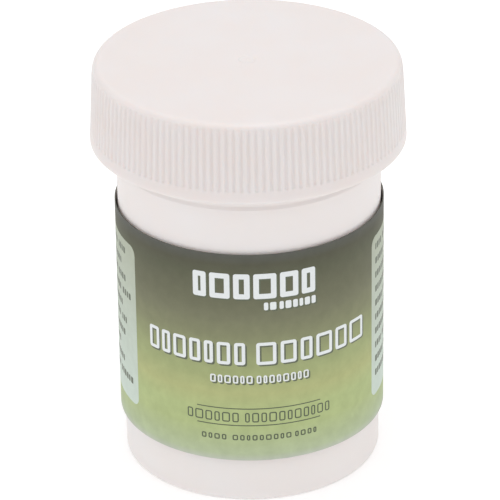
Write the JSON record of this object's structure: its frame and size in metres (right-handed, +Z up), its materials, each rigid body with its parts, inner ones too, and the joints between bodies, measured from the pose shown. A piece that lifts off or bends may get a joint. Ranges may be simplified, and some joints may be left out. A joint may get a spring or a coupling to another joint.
{
  "type": "screw-cap powder jar",
  "caption": "Small round plastic jar with a threaded neck, a finely ribbed screw cap with a foam liner, a lapped wrap label and a powder fill, for pet grooming.",
  "frame": {"origin": "middle of the foot that the jar stands on", "axes": "+Z up along the jar's axis, towards the cap; +Y towards the label's lap, so the label's front faces -Y; +X to the right seen from the front"},
  "size_m": [0.0406, 0.0406, 0.0551],
  "materials": {
    "jar_plastic": "satin moulded HDPE",
    "powder": "fine dry powder",
    "label_paper": "coated printed paper",
    "glue": "dried hot-melt glue",
    "liner_foam": "fine foamed polyethylene",
    "cap_plastic": "satin moulded polypropylene"
  },
  "bodies": {
    "jar": {"jar": "jar_plastic", "powder": "powder", "label": "label_paper", "label_glue": "glue"},
    "liner": {"cap_liner": "liner_foam"},
    "cap": {"cap": "cap_plastic"}
  },
  "joints": [
    {"name": "cap_lift", "type": "slide", "parent": "jar", "child": "liner", "axis": [0, 0, 1], "range_m": [0, 0.00952]},
    {"name": "cap_turn", "type": "hinge", "parent": "liner", "child": "cap", "pos_m": [0, 0, 0.0551], "axis": [0, 0, 1], "range_deg": [0, 810]}
  ],
  "couplings": [
    {"joint": "cap_lift", "follows": "cap_turn", "m_per_rad": 0.0006737}
  ]
}
